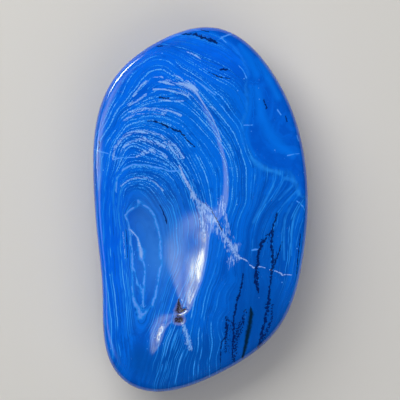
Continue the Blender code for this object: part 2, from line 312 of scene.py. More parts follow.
# x, y and half width along each line of each marking
markings = {
    "darkSeams": [
        [(13.7, -0.6, 0.16), (13.2, -2.4, 0.24), (12.8, -4, 0.27), (12.7, -6, 0.27),
         (12.9, -8, 0.24), (12.9, -10, 0.35), (12.7, -11.5, 0.24), (12.4, -13.8, 0.22),
         (12.2, -16.1, 0.32), (11.9, -18.1, 0.4), (11.6, -20.1, 0.35), (11.1, -21.6, 0.4),
         (10.7, -23.7, 0.35), (10.3, -24.9, 0.22)],
        [(12.9, -3.7, 0.16), (11.9, -4.7, 0.27), (10.9, -6, 0.4), (10.5, -7.5, 0.32),
         (10.2, -9.5, 0.27), (10, -11.5, 0.43), (10, -13, 0.4), (10.4, -15, 0.16)],
        [(7.6, -11.5, 0.14), (7.4, -13.6, 0.19), (6.9, -15, 0.22), (6.5, -16.6, 0.24),
         (6.1, -18.4, 0.19)],
        [(6.1, -18.4, 0.2), (5.9, -20.5, 0.24), (5.9, -22.5, 0.2), (5.8, -24.5, 0.2), (5.7, -26.5, 0.14)],
        [(4.6, -19.9, 0.32), (4.7, -21.6, 0.22), (4.6, -22.6, 0.19), (3.7, -23.8, 0.13),
         (3.6, -26.4, 0.13), (3.6, -28.5, 0.09)],
        [(14.6, -5.7, 0.11), (13.9, -8, 0.16), (13.2, -10, 0.16)],
        [(17.9, -4.4, 0.11), (17.5, -8, 0.11), (17.2, -11.5, 0.08)],
        [(-13.4, -3.5, 0.05), (-13.2, -5.7, 0.06), (-13.1, -8.7, 0.04)],
        [(-3.3, 31.4, 0.11), (-1.7, 31.5, 0.23), (-0.4, 31.2, 0.31), (0.8, 30.7, 0.27), (1.9, 30.3, 0.38),
         (2.9, 29.9, 0.23)],
        [(0.1, 32.2, 0.09), (1.5, 31.9, 0.09)],
        [(3.4, 25.1, 0.18), (4.8, 25.1, 0.18)],
        [(1.5, 24.6, 0.09), (3.3, 23.8, 0.16), (5.3, 23.4, 0.07)],
        [(11.3, 19.8, 0.14), (11.8, 18.1, 0.18)],
        [(15.2, 16.8, 0.09), (15.5, 15.8, 0.11)],
        [(-7.8, 29.3, 0.13), (-6.8, 29.3, 0.13)],
        [(-9.5, 15.8, 0.08), (-8, 15.8, 0.18), (-6.2, 15, 0.2), (-4.8, 14.3, 0.28),
         (-3.5, 13.8, 0.28), (-2.2, 12.2, 0.18), (-1, 11.2, 0.11)],
        [(-7.3, 20.1, 0.14), (-5.7, 19.9, 0.13)],
        [(-7.3, 0.8, 0.06), (-6.8, -0.2, 0.09), (-6.2, -1.7, 0.14), (-6.1, -2.6, 0.1)],
        [(-18.1, 12.2, 0.11), (-18.2, 10.7, 0.11)],
        [(1.8, 0.3, 0.07), (2.4, -0.9, 0.1), (3.1, -2.2, 0.11), (3.9, -3.9, 0.09)],
        [(0.8, 1.2, 0.07), (1.4, 0.4, 0.09)],
    ],
    # where the seams fall apart into crumbs
    "looseCrumbs": [
        [(8.1, -18, 0.35), (7.7, -19.6, 0.6), (7, -21.2, 0.75), (6.3, -23.2, 0.75),
         (6.1, -25.4, 0.55), (5.9, -27.2, 0.35)],
        [(4.7, -19.3, 0.4), (4.7, -21.6, 0.45), (4.6, -23.4, 0.4), (4.5, -25.4, 0.35)],
        [(12.9, -17, 0.3), (12.7, -19.8, 0.35), (11.7, -22.2, 0.4), (10.8, -24.4, 0.4)],
    ],
    "greenSlit": [
        [(9, -17.4, 0.09), (9.1, -18.6, 0.4), (8.8, -20.6, 0.41), (8.4, -22.6, 0.38),
         (8, -24.8, 0.32), (7.5, -26.6, 0.18)],
    ],
    "paleVeins": [
        [(-13.5, -1.1, 0.16), (-13.1, -0.4, 0.16), (-12, 0.3, 0.15), (-11.4, 0.6, 0.16),
         (-11.1, 1.6, 0.16), (-10.5, 1, 0.16), (-9.1, 0.1, 0.18), (-8.3, -1.1, 0.2), (-7.7, -3.2, 0.19),
         (-7.2, -5.5, 0.18), (-7.1, -8.2, 0.2), (-7.1, -10, 0.2), (-7.5, -12, 0.17),
         (-7.8, -13.8, 0.16), (-8.1, -15.8, 0.2), (-8.7, -17.2, 0.27), (-10, -18.3, 0.34),
         (-10.6, -19.3, 0.4), (-11, -18.2, 0.4), (-11.5, -17.2, 0.3), (-12.1, -15.6, 0.16),
         (-12.3, -13.6, 0.1), (-12.3, -10.9, 0.1), (-12.1, -10, 0.17), (-12.2, -8.2, 0.15),
         (-12.5, -5.9, 0.15), (-12.7, -3.7, 0.18), (-13.1, -2.1, 0.16), (-13.5, -1.1, 0.16)],
        [(-12.7, -3.5, 0.16), (-12, -4.1, 0.16), (-11.3, -5, 0.16), (-10.9, -6.4, 0.22),
         (-10.6, -7.5, 0.5), (-10.7, -8.3, 0.42), (-10.4, -9, 0.16), (-10.1, -9.8, 0.15),
         (-10, -11.3, 0.15), (-10.1, -13.1, 0.17), (-10.4, -14.5, 0.3), (-10.3, -15.8, 0.16),
         (-10.2, -18.1, 0.12)],
        [(-12.1, -10, 0.15), (-11.7, -12, 0.16), (-11.2, -13.6, 0.2), (-10.6, -14.8, 0.28)],
        [(-15.1, 3, 0.1), (-15, 5.7, 0.15), (-13.8, 7.2, 0.15), (-12.1, 8, 0.12), (-9.8, 8, 0.12),
         (-7.8, 7.6, 0.12), (-5.7, 6.9, 0.13), (-3.7, 6.9, 0.12)],
        [(-19, 10.7, 0.08), (-17.2, 10.2, 0.08), (-15.6, 9.6, 0.1), (-14.5, 9.1, 0.08)],
        [(-15.4, 9, 0.1), (-13.8, 9.3, 0.1), (-11.8, 9.4, 0.08)],
        [(15.6, 9.7, 0.08), (16.5, 9.9, 0.1), (17.7, 10, 0.06)],
        [(13.8, 17.9, 0.1), (14.4, 17, 0.1)],
        [(9.3, -7.3, 0.14), (10.3, -7.1, 0.12)],
        [(7.8, 15.1, 0.08), (9.3, 15.1, 0.08)],
        [(17.3, 13.2, 0.08), (17.6, 12.3, 0.08)],
        [(-2.9, -20.8, 0.12), (-2.4, -22.4, 0.14), (-1.9, -24, 0.13), (-1.7, -25, 0.1)],
        [(3, 30.3, 0.08), (4.2, 31, 0.12), (5.5, 31.5, 0.08)],
        [(6.8, 25.8, 0.08), (7.6, 24.9, 0.1), (8.3, 23.5, 0.08)],
        [(3.7, 30.7, 0.06), (4.6, 30, 0.08)],
        [(-0.7, 23, 0.08), (0.8, 21.9, 0.14), (2.7, 20.5, 0.1)],
        [(17.1, 1.6, 0.08), (17.7, 1.3, 0.1), (18.3, 0.6, 0.1), (18.6, -0.1, 0.08)],
    ],
    "grainyArcs": [
        [(-15.6, 9, 0.14), (-15.3, 11, 0.18), (-14.1, 12.7, 0.2), (-12.3, 13.8, 0.22),
         (-9.8, 14, 0.2), (-7.3, 13.4, 0.2), (-5.7, 12.2, 0.2), (-4.2, 10.9, 0.23), (-3.1, 9.3, 0.16)],
        [(-13.8, 11.2, 0.13), (-12.3, 12.2, 0.2), (-10.3, 12.7, 0.23), (-8.8, 12.2, 0.27),
         (-6.8, 11.5, 0.23), (-5, 10.5, 0.22), (-3.7, 9.3, 0.16)],
        [(-11.4, 9.5, 0.18), (-9.8, 10.2, 0.29), (-8.8, 10.7, 0.25), (-7.3, 10, 0.29),
         (-6.2, 9.4, 0.22)],
        [(-14.2, 4.2, 0.07), (-13.1, 5.1, 0.11), (-11.6, 5.7, 0.13), (-9.8, 5.6, 0.13), (-8, 4.8, 0.13),
         (-6.8, 3.4, 0.09)],
        [(-7.3, 22.9, 0.22), (-5.7, 22.8, 0.27), (-4.2, 22.4, 0.29), (-2.7, 22.1, 0.47),
         (-1.7, 22.1, 0.61), (-0.8, 21.5, 0.36)],
        [(-8.5, 21.6, 0.14), (-6.8, 21.6, 0.16), (-5, 21.2, 0.18), (-3.5, 20.8, 0.18),
         (-2.2, 20.3, 0.13)],
        [(-7.5, 19.5, 0.11), (-5.7, 19.5, 0.16), (-4.2, 19.4, 0.18), (-3.2, 19.4, 0.14)],
        [(-12.9, 18.8, 0.18), (-11.3, 19.4, 0.18), (-9.8, 20.6, 0.16)],
        [(-12, 20.2, 0.13), (-11.1, 21.7, 0.14), (-9.8, 22.9, 0.18), (-8.5, 23.6, 0.18),
         (-7, 23.7, 0.14)],
        [(-12.7, 17.5, 0.1), (-10, 18.1, 0.13), (-7.8, 18, 0.17), (-5.2, 17.6, 0.14),
         (-3.5, 16.8, 0.1)],
        [(-13.8, 15.9, 0.11), (-11.6, 17.1, 0.14), (-9.1, 17.3, 0.16), (-6.6, 17, 0.13)],
        [(-4.8, 24.3, 0.11), (-3.7, 23.6, 0.14), (-2.4, 23, 0.09)],
        [(1.9, 18.4, 0.14), (2.8, 17.8, 0.13)],
        [(-2.4, 28.3, 0.09), (-1.2, 27.8, 0.14), (0.1, 27, 0.09)],
        [(-13.9, -4, 0.06), (-13.7, -6, 0.08), (-13.5, -8.8, 0.06)],
        [(-3.2, -20.3, 0.2), (-2.6, -22.2, 0.34), (-2.1, -24, 0.4), (-1.8, -25, 0.24)],
    ],
    "crackBand": [
        [(-3.7, 7.8, 0.18), (-3.1, 6.2, 0.27), (-2.4, 4.8, 0.36), (-1.3, 2.6, 0.54), (-0.1, 0.8, 0.99),
         (1.2, -0.4, 1.26), (2.4, -2.4, 0.99), (3.7, -4.4, 0.81), (5, -6, 0.99), (6, -7.6, 0.9),
         (6.8, -8.9, 0.36)],
        [(-0.1, 1.2, 0.45), (0.4, -1.9, 0.58), (0.6, -5.1, 0.27)],
        [(3.8, 2.4, 0.32), (4.2, -0.8, 0.47), (4.8, -4, 0.58)],
        [(6.4, -6.4, 0.54), (5.7, -8.5, 0.94), (5.1, -10.5, 0.36)],
    ],
    "crackSpine": [
        [(-3.7, 7.8, 0.13), (-3.1, 6.2, 0.16), (-2.4, 4.8, 0.18), (-1.3, 2.6, 0.22), (-0.4, 1.3, 0.23),
         (0.8, 0.6, 0.23), (1.8, -0.2, 0.22), (2.3, -1.2, 0.18), (3, -2.4, 0.18), (4.1, -4.5, 0.18),
         (5.1, -6, 0.22), (5.8, -7.5, 0.23), (6.6, -8.2, 0.22)],
        [(-12.6, -3.6, 0.06), (-11.8, -4.4, 0.08), (-11.2, -5.3, 0.09), (-10.9, -6.4, 0.12)],
        [(6.7, -8.4, 0.12), (7.6, -8.8, 0.13), (8.4, -9.3, 0.09)],
        [(8.8, -9.9, 0.07), (9.6, -10.4, 0.09)],
        [(10.4, -10.2, 0.08), (11.5, -10.4, 0.07)],
        [(12.4, -10.8, 0.07), (12.9, -10.9, 0.08)],
        [(13.5, -11, 0.08), (14.5, -11.5, 0.1)],
        [(14.6, -11.7, 0.07), (16.3, -11.7, 0.06)],
    ],
    # the first pale ridge is a painted highlight along the ledge's crest, the second a pale line in the
    # stone
    "paleRidgeAndHighlight": [
        [(-4, 22.6, 0.11), (-3, 22.5, 0.29), (-2.1, 22.1, 0.52), (-1.3, 21.7, 0.47),
         (-0.4, 20.4, 0.2), (0.6, 18.8, 0.14), (1.9, 16.8, 0.11), (3.1, 14.1, 0.11), (3.7, 12.2, 0.07)],
        [(-10.9, -6.4, 0.1), (-10.7, -7.3, 0.3), (-10.7, -8, 0.36), (-10.6, -8.6, 0.15)],
    ],
    "softLines": [
        [(13, 5.9, 0.12), (13, 4.2, 0.2), (12, 2.4, 0.22), (11.2, 0.8, 0.24), (10.3, -0.9, 0.26),
         (9.5, -2.2, 0.3)],
        [(17, 3.2, 0.1), (15.8, 1.9, 0.2), (14.5, 0.5, 0.1)],
        [(16.5, 1.2, 0.12), (15.8, -0.1, 0.16), (15.2, -1.4, 0.16), (15, -2.8, 0.18),
         (14.9, -5.5, 0.18), (15, -9, 0.16)],
        [(17.6, 0.5, 0.14), (16.8, -1, 0.18), (16.5, -2.3, 0.16), (16.3, -4.6, 0.14),
         (16.3, -8.2, 0.12)],
        [(15.6, 6.1, 0.1), (14.9, 5.3, 0.12), (14, 3.5, 0.14), (12.9, 1.7, 0.1)],
        [(16.5, 4.3, 0.16), (15.2, 3, 0.2), (14, 1.7, 0.1)],
        [(15, 5.6, 0.3), (16.4, 5.4, 0.35), (17.2, 4.2, 0.3), (17.6, 2.8, 0.35)],
        [(-18.1, 10.9, 0.12), (-17.8, 8.9, 0.22), (-17.7, 7.1, 0.26), (-18.1, 5.3, 0.24),
         (-18.3, 3.5, 0.14)],
        [(-15, 6, 0.12), (-15.6, 3, 0.2), (-15.6, 0.5, 0.18), (-15.2, -3, 0.1)],
        [(-13.6, 4.8, 0.12), (-14.5, 2.6, 0.16), (-14.8, 0, 0.14), (-14.6, -2.2, 0.1)],
        [(8.9, 9.4, 0.25), (10, 8.2, 0.4), (11.2, 7.4, 0.45), (12.6, 6.9, 0.3), (13.9, 6.7, 0.35),
         (14.3, 6.4, 0.25)],
    ],
    "softStreaks": [
        [(8.9, 22, 0.4), (8.9, 19, 0.5), (8.4, 16, 0.5), (8.1, 13.6, 0.4), (8.8, 11.2, 0.35),
         (9.8, 9.6, 0.3)],
        [(7.1, 29.4, 0.45), (8.9, 26.9, 0.81), (10, 24.2, 0.72)],
        [(10, 21.9, 0.45), (10.3, 20.2, 0.72), (10.9, 17, 0.81), (12.4, 13.6, 0.9),
         (14.5, 11.2, 0.81), (16.5, 9.6, 0.54)],
        [(10.3, 26.9, 0.45), (12.2, 23.7, 0.63), (13.9, 20.1, 0.63)],
    ],
}

# x, y, half width, half length and amount of each soft patch
patches = {
    # where the blue is more violet, with painted light on the top and left; duller below zero, with
    # painted shade towards the right and bottom
    "tonesAndShading": [
        (-15.5, -6, 4, 20, 1), (-12, 22, 7, 9, 0.4), (11, -21, 8, 9, -1),
        (-2.5, -29, 9, 6.5, -1.2), (-9, 2, 5, 4, -0.15), (14, -3, 7, 9, -0.5),
        (9, -10, 5, 6, -0.3), (-11.5, -26.5, 2.5, 3.5, -0.6), (2, 27, 12, 6, 0.8),
    ],
    # where the stone is milky
    "milk": [
        (-7.6, -8, 3.2, 8, 1), (-10, -1.5, 3, 4, 0.5), (-4, -6.5, 4.5, 6.5, 0.7),
        (-11.5, -13, 2, 8, 0.3),
    ],
    # where the fine lines show up brightly
    "shows": [
        (-8, 14, 12, 11, 1), (4, 12, 7, 12, 0.75), (3, 25.5, 10, 5.5, 0.3),
        (-4.5, -6, 3.5, 10, 0.5), (-4, -21, 7, 9.5, 0.75), (-15.5, 4, 3, 9, -0.3),
        (15, -4, 5, 9, 0.4), (-7.6, -8, 2.8, 9, -0.8), (-14.8, -12, 2.6, 13, 0.8),
        (-11, -26, 2, 6, -0.9), (8, -12, 4, 8, -0.2), (10, -20, 7, 7, -0.3),
        (7.6, 19.5, 3.2, 9, -0.75), (4.5, 27, 5, 3, -0.3),
    ],
    # where the bright lines break up into beads
    "beads": [
        (-9.5, 17, 8.5, 8.5, 1), (-8, 9, 7.5, 5, 1), (2, 24, 11, 7, 0.8),
        (5, 10, 6, 10, 0.5), (-10.5, 4, 6, 3, 0.5), (5, -22, 8, 8, 0.3),
    ],
}


def bendKernel(gaps):
    # r^2 log r, the shape of a thin plate bent at one point
    return np.where(gaps > 0, gaps**2 * np.log(np.maximum(gaps, 1e-9)), 0)


def bandLevel(x, y):
    # a thin plate's height through the guides: sum of w r^2 log r, plus a plane
    points = np.array([point for _, line in pattern["guides"] for point in line])
    levels = np.array([level for level, line in pattern["guides"] for _ in line])
    count = len(points)
    gaps = np.linalg.norm(points[:, None] - points[None], axis=2)
    plane = np.column_stack([np.ones(count), points])
    system = np.block([
        [bendKernel(gaps) + pattern["smoothing"] * np.eye(count), plane],
        [plane.T, np.zeros((3, 3))],
    ])
    weights = np.linalg.solve(system, np.concatenate([levels, np.zeros(3)]))
    heights = [
        bendKernel(np.linalg.norm(part[:, None] - points[None], axis=2)) @ weights[:count]
        + weights[count]
        + part @ weights[count + 1 :]
        for part in blocks(np.column_stack([x, y]))
    ]
    return np.concatenate(heights)


def lineField(x, y, lines):
    # a vector as long as the distance to the nearest line in half widths. It passes through nought
    # on the line itself between the mesh's points, and far from every line it is noLine.
    dx, dy, half = nearestOffset(x, y, lines)
    reach, halves = pattern["lineReach"]
    near = np.hypot(dx, dy) < np.maximum(reach, halves * half)
    vectors = np.column_stack([dx / half, dy / half, np.zeros(len(x))])
    return np.where(near[:, None], vectors, pattern["noLine"])


def edgeGap(x, y, line):
    # the distance past an open line, positive on its right-hand side as it is followed
    rows = np.array(line)
    nearest, side = np.full(len(x), np.inf), np.zeros(len(x))
    for start, end in zip(rows[:-1], rows[1:]):
        dx, dy, _ = chordOffset(x, y, start, end)
        gap = np.hypot(dx, dy)
        ahead = end - start
        sign = np.where(ahead[1] * dx - ahead[0] * dy > 0, 1, -1)
        side = np.where(gap < nearest, sign, side)
        nearest = np.minimum(nearest, gap)
    return nearest * side


def softPatches(x, y, rows):
    # a sum of soft round patches, amount exp(-r^2), r being the distance in half sizes
    total = np.zeros(len(x))
    for middleX, middleY, halfX, halfY, amount in rows:
        total += amount * np.exp(-(((x - middleX) / halfX) ** 2) - ((y - middleY) / halfY) ** 2)
    return total


def stoneFields(points):
    # the layers lean as they run back, so the pattern is read at x and y moved by the depth
    faceEdge = stone["rimHeight"] + stone["edgeRise"]
    depth = np.maximum(faceEdge - pattern["leanStart"] - points[:, 2], 0)
    x, y = (points[:, :2] + np.outer(depth, pattern["lean"])).T
    level, step = bandLevel(x, y), pattern["slopeStep"]
    slopeX = (bandLevel(x + step, y) - level) / step
    slopeY = (bandLevel(x, y + step) - level) / step
    fields = {name: softPatches(x, y, rows) for name, rows in patches.items()}
    fields["bandLevel"] = level
    fields["bandSlope"] = np.hypot(slopeX, slopeY)  # levels per millimetre
    fields["windowGap"] = -edgeGap(x, y, pattern["windowEdge"])
    lines = {name: lineField(x, y, rows) for name, rows in markings.items()}
    lines["pitHollows"] = lineField(points[:, 0], points[:, 1], pit["hollows"])
    for vectors in lines.values():
        vectors[points[:, 2] < stone["rimHeight"]] = pattern["noLine"]
    return fields, lines


def makeStone():
    # each level of the block is bent to a disc, x = u sqrt(1 - v^2 / 2), y = v sqrt(1 - u^2 / 2),
    # and shrunk towards the two faces by reach + (1 - reach) cos(w pi / 2)
    u, v, w, squares = boxLattice(stone["cells"])
    discX, discY = u * np.sqrt(1 - v**2 / 2), v * np.sqrt(1 - u**2 / 2)
    reach = stone["faceReach"]
    share = np.hypot(discX, discY) * (reach + (1 - reach) * np.cos(w * math.pi / 2))
    points = stonePoints(np.arctan2(discY, discX), np.minimum(share, 1), w >= 0)
    mesh = bpy.data.meshes.new("polishedStone")
    mesh.from_pydata((points * mm).tolist(), [], squares.tolist())
    mesh.shade_smooth()
    fields, lines = stoneFields(points)
    for name, values in fields.items():
        column = mesh.attributes.new(name, "FLOAT", "POINT")
        column.data.foreach_set("value", values.astype(np.float32))
    for name, rows in lines.items():
        vectors = mesh.attributes.new(name, "FLOAT_VECTOR", "POINT")
        vectors.data.foreach_set("vector", rows.astype(np.float32).ravel())
    print("stone:", len(mesh.polygons) * 2, "triangles")
    return addObject("polishedStone", mesh)


class Nodes:
    # short ways to add and join the nodes of one material or light
    def __init__(self, owner):
        owner.use_nodes = True
        self.tree = owner.node_tree
        self.count = 0

    def join(self, value, socket):
        if isinstance(value, bpy.types.NodeSocket):
            self.tree.links.new(value, socket)
        else:
            socket.default_value = value

    def add(self, kind, inputs, **settings):
        node = self.tree.nodes.new("ShaderNode" + kind)
        node.location = (180 * (self.count // 6), -200 * (self.count % 6))
        self.count += 1
        for name, value in settings.items():
            setattr(node, name, value)
        for socket, value in inputs.items():
            self.join(value, node.inputs[socket])
        return node

    def math(self, operation, a, b=0.0, c=0.0):
        return self.add("Math", {0: a, 1: b, 2: c}, operation=operation).outputs[0]

    def plus(self, a, b):
        return self.math("ADD", a, b)

    def times(self, a, b):
        return self.math("MULTIPLY", a, b)

    def timesPlus(self, a, b, c):
        return self.math("MULTIPLY_ADD", a, b, c)

    def larger(self, a, b):
        return self.math("MAXIMUM", a, b)

    def ramp(self, value, low, high, toLow=0.0, toHigh=1.0, ease="SMOOTHSTEP"):
        ends = {"From Min": low, "From Max": high, "To Min": toLow, "To Max": toHigh}
        return self.add("MapRange", {"Value": value, **ends}, interpolation_type=ease).outputs["Result"]

    def mix(self, factor, a, b):
        # a colour is another node's output or a name in amber
        a, b = [(*amber[colour], 1.0) if isinstance(colour, str) else colour for colour in (a, b)]
        return self.add("Mix", {0: factor, 6: a, 7: b}, data_type="RGBA").outputs[2]

    def vector(self, operation, a, b=(0, 0, 0), c=(0, 0, 0)):
        return self.add("VectorMath", {0: a, 1: b, 2: c}, operation=operation).outputs[0]

    def spot(self, x, y=0.0):
        return self.add("CombineXYZ", {0: x, 1: y}).outputs[0]

    def paint(self, mask, colour):
        # lays a colour over the ones before it
        self.colour = self.mix(mask, self.colour, colour)

    def red(self, colour):
        return self.add("SeparateColor", {0: colour}).outputs[0]

    def noise(self, place, scale=1.0, detail=3.0, rough=0.55):
        inputs = {"Vector": place, "Scale": scale, "Detail": detail, "Roughness": rough}
        return self.add("TexNoise", inputs).outputs["Fac"]

    def field(self, name):
        return self.add("Attribute", {}, attribute_name=name).outputs["Fac"]

    def drift(self, place, scale, reach):
        # a wandering offset of up to about a fifth of that reach, for a line to waver by
        colour = self.add("TexNoise", {"Vector": place, "Scale": scale, "Detail": 2.0}).outputs["Color"]
        return self.vector("MULTIPLY_ADD", colour, (reach, reach, 0), (-reach / 2, -reach / 2, 0))

    def line(self, name, drift=(0, 0, 0)):
        # the distance to the nearest of those lines, in its own half widths
        offset = self.add("Attribute", {}, attribute_name=name).outputs["Vector"]
        moved = self.vector("ADD", offset, drift)
        return self.add("VectorMath", {0: moved}, operation="LENGTH").outputs["Value"]


growth = {
    # families of lines: lines in a level, half width in millimetres, strength, where they start
    "families": [(2.1, 0.16, 1.1, 3.1), (4.4, 0.13, 1.0, 17.7), (8.7, 0.11, 0.8, 41.3)],
    "darkShift": 3.37,  # levels between the light lines and the dark ones
    "crowded": (2.2, 4.2),  # lines in a millimetre between which a family fades out
    "flattest": 0.08,  # levels in a millimetre, so that no line gets endlessly wide
    "firm": 0.15,  # share of a line's half width that has its full strength
    "own": (0.1, 0.95, 0.15),  # draws at which a line is faintest and strongest; the faintest
    "along": 0.32,  # how often in a millimetre a line comes and goes on its way
    "comes": (0.34, 0.56),  # between which values of its noise
    "wander": (0.9, 0.2, -0.55),  # by the sway, by the medium grain, and less their mean
    "wobble": (0.3, 0.07),  # where the layers are beaded, and everywhere
}

amber = {
    # colours, as red, green and blue
    "deep": (0.0003, 0.090, 0.560),
    "bright": (0.0006, 0.152, 0.800),
    # the violet stands partly for painted light, and the dull below it partly for painted shade
    "violetAndLit": (0.0008, 0.140, 0.980),
    "dullAndShaded": (0.0006, 0.076, 0.400),
    "line": (0.016, 0.280, 0.920),
    "strongLine": (0.110, 0.420, 0.960),
    "lavender": (0.150, 0.330, 0.960),
    "grain": (0.185, 0.440, 0.950),
    "healedAndHighlight": (0.270, 0.470, 0.930),
    "darkLine": (0.0003, 0.060, 0.390),
    # healed is also the colour of the painted highlight along the ledge's crest
    "seam": (0.0006, 0.010, 0.100),
    "slit": (0.0012, 0.014, 0.030),
    "window": (0.0003, 0.096, 0.620),
    "windowLight": (0.0006, 0.132, 0.740),
    "streak": (0.0010, 0.180, 0.860),
    "milky": (0.030, 0.200, 0.720),
    "pit": (0.030, 0.022, 0.034),
    "pitRim": (0.200, 0.240, 0.560),
    # the polish, how far it varies, and how much duller it is where the stone is open or grainy
    "roughness": 0.075,
    "roughnessSway": 0.04,
    "duller": {"crack": 0.22, "arc": 0.12, "hollow": 0.5},
    "ior": 1.54,
    # what stands up or lies low after the polish, and the bump's strength and millimetres
    "relief": {"light": 0.35, "broad": 0.5, "crack": -0.8, "seam": -0.5},
    "bump": (0.25, 0.04),
    # noises: grains in a millimetre, detail and roughness
    "grains": {
        "sway": (0.12, 1.0, 0.55), "coarse": (0.16, 4.0, 0.55), "medium": (0.7, 3.0, 0.55),
        "fine": (2.2, 3.0, 0.6), "speck": (4.2, 2.0, 0.6),
    },
    # smooth markings: at how many half widths from the line they begin and are full, strength
    "smooth": {
        "streak": (1.8, 0.0, 0.7),
        "veinGlow": (2.1, 0.4, 0.85),
        "vein": (1.0, -0.2, 0.75),
        "softLine": (1.8, 0.1, 0.55),
        "ridgeAndHighlight": (1.4, 0.0, 1.0),
        "slit": (1.6, 0.3, 0.95),
        "pitRim": (2.3, 1.2, 0.75),
        "hollow": (1.15, 0.75, 1.0),
    },
    # grainy markings: the same two distances, what is added to a texture at each of them, and
    # the two values between which the marking comes in
    "grainy": {
        "arc": (3.4, 0.0, -0.24, 0.08, 0.54, 0.66),
        "fringe": (2.4, 0.1, -0.28, 0.07, 0.49, 0.68),
        "spine": (3.6, 0.2, -0.3, 0.19, 0.46, 0.66),
        "seam": (2.2, 0.1, -0.25, 0.2, 0.54, 0.62),
        "crumb": (1.7, 0.2, -0.25, 0.06, 0.50, 0.57),
    },
    "fibres": {"Rotation": (0, 0, 0.25), "Scale": (6.0, 0.9, 2.0)},  # of the crack's fringe
    "strands": 19.0,  # how finely the grainy arcs are split along the layers
    "specks": (0.75, 0.76, 0.8),  # cells in a millimetre, and which of them hold a pale speck
}


def growthLines(n, level, slope, place, family, shift):
    # thin lines at uneven steps of the level, each with its own strength, that come and go on
    # their way, and are as wide in millimetres wherever the layers are wide or narrow
    count, halfWidth, strength, start = family
    steps = {"W": n.plus(level, start + shift), "Scale": count, "Randomness": 0.9}
    cells = n.add("TexVoronoi", steps, voronoi_dimensions="1D")
    perMm = n.times(n.larger(slope, growth["flattest"]), count)
    apart = n.math("DIVIDE", cells.outputs["Distance"], perMm)
    near = n.ramp(apart, halfWidth, halfWidth * growth["firm"])
    own = n.ramp(n.red(cells.outputs["Color"]), *growth["own"], strength)
    along = n.vector("MULTIPLY", place, (growth["along"],) * 3)
    spread = n.vector("ADD", n.spot(n.times(level, count * 0.9)), along)
    comes = n.ramp(n.noise(spread, 1.0, 1.0), *growth["comes"])
    few, many = growth["crowded"]
    return n.times(n.times(near, own), n.times(comes, n.ramp(perMm, many, few)))


def wanderingLevel(n, grain):
    # level + slope x millimetres, the millimetres being the wander of the layers from the sway and
    # the medium grain, plus the wobble of the fine grain
    sway, medium, mean = growth["wander"]
    beaded, everywhere = growth["wobble"]
    wander = n.timesPlus(grain["sway"], sway, n.timesPlus(grain["medium"], medium, mean))
    wobble = n.timesPlus(n.field("beads"), beaded, everywhere)
    wander = n.timesPlus(n.plus(grain["fine"], -0.5), wobble, wander)
    return n.timesPlus(wander, n.field("bandSlope"), n.field("bandLevel"))


def smooth(n, gap, name):
    # a marking that rises smoothly from nothing far from its line to its strength near it
    far, near, strength = amber["smooth"][name]
    return n.ramp(gap, far, near, 0.0, strength)


def grainy(n, texture, gap, name):
    # a texture, raised near the marking's line and lowered away from it, cut between two values
    far, near, away, close, low, high = amber["grainy"][name]
    return n.ramp(n.plus(texture, n.ramp(gap, far, near, away, close)), low, high)


def layerTonesAndShading(n, grain, level, window):
    # a noise that is stretched along the layers blends two blues, and soft patches make them violet, with
    # painted light on the top and left, dull, with painted shade towards the right and bottom, and milky;
    # the clear part has swirls and streaks of its own
    broad = n.noise(n.spot(n.times(level, 1.9), n.times(grain["coarse"], 3.0)), 1.0, 4.0, 0.65)
    n.colour = n.mix(n.ramp(broad, 0.36, 0.64), "deep", "bright")
    toneAndShading = n.field("tonesAndShading")
    # painted light: the violet patches lighten the top and left of the stone
    n.paint(n.ramp(toneAndShading, 0.1, 1.0, 0.0, 0.6), "violetAndLit")
    # painted shade: the dull patches darken the stone towards the right and bottom
    n.paint(n.ramp(toneAndShading, -0.1, -1.0, 0.0, 0.8), "dullAndShaded")
    n.paint(n.times(n.field("milk"), n.ramp(grain["coarse"], 0.3, 0.6, 0.35, 0.8)), "milky")
    swirlPlace = n.spot(n.times(n.field("windowGap"), 0.55), n.times(grain["coarse"], 4.0))
    swirl = n.ramp(n.noise(swirlPlace, 1.0, 2.0), 0.42, 0.66)
    clear = n.mix(swirl, "window", "windowLight")
    clear = n.mix(n.ramp(grain["medium"], 0.45, 0.65, 0.0, 0.4), clear, "windowLight")
    n.paint(window, n.mix(smooth(n, n.line("softStreaks"), "streak"), clear, "streak"))
    return broad


def layerLines(n, grain, place, level, window):
    # the strongest of the families' light and dark lines, outside the clear part and the core,
    # the light ones as strong as the shows patches say and broken up where they are beaded
    show, slope = n.field("shows"), n.field("bandSlope")
    light, dark = 0.0, 0.0
    for family in growth["families"]:
        light = n.larger(growthLines(n, level, slope, place, family, 0.0), light)
        dark = n.larger(growthLines(n, level, slope, place, family, growth["darkShift"]), dark)
    outside = n.times(n.math("SUBTRACT", 1.0, window), n.ramp(level, 0.5, 1.1))
    light = n.times(n.times(light, outside), n.ramp(show, -0.5, 1.0, 0.0, 1.1))
    beaded = n.math("MINIMUM", n.field("beads"), 1.0)
    broken = n.ramp(grain["speck"], 0.42, 0.58, 0.2, 2.4)
    light = n.times(light, n.add("Mix", {0: beaded, 2: 1.0, 3: broken}).outputs[0])
    dark = n.times(n.times(dark, outside), n.ramp(show, -0.5, 0.2, 0.0, 0.55))
    n.paint(dark, "darkLine")
    n.paint(n.ramp(light, 0.0, 0.7), "line")
    n.paint(n.ramp(light, 0.5, 1.3), "strongLine")
    return light


def paleSpecks(n, place):
    # a small round speck in the middle of some cells
    scale, least, most = amber["specks"]
    cells = n.add("TexVoronoi", {"Vector": place, "Scale": scale})
    chosen = n.ramp(n.red(cells.outputs["Color"]), least, most, 0.0, 0.7)
    n.paint(n.times(n.ramp(cells.outputs["Distance"], 0.13, 0.05), chosen), "strongLine")


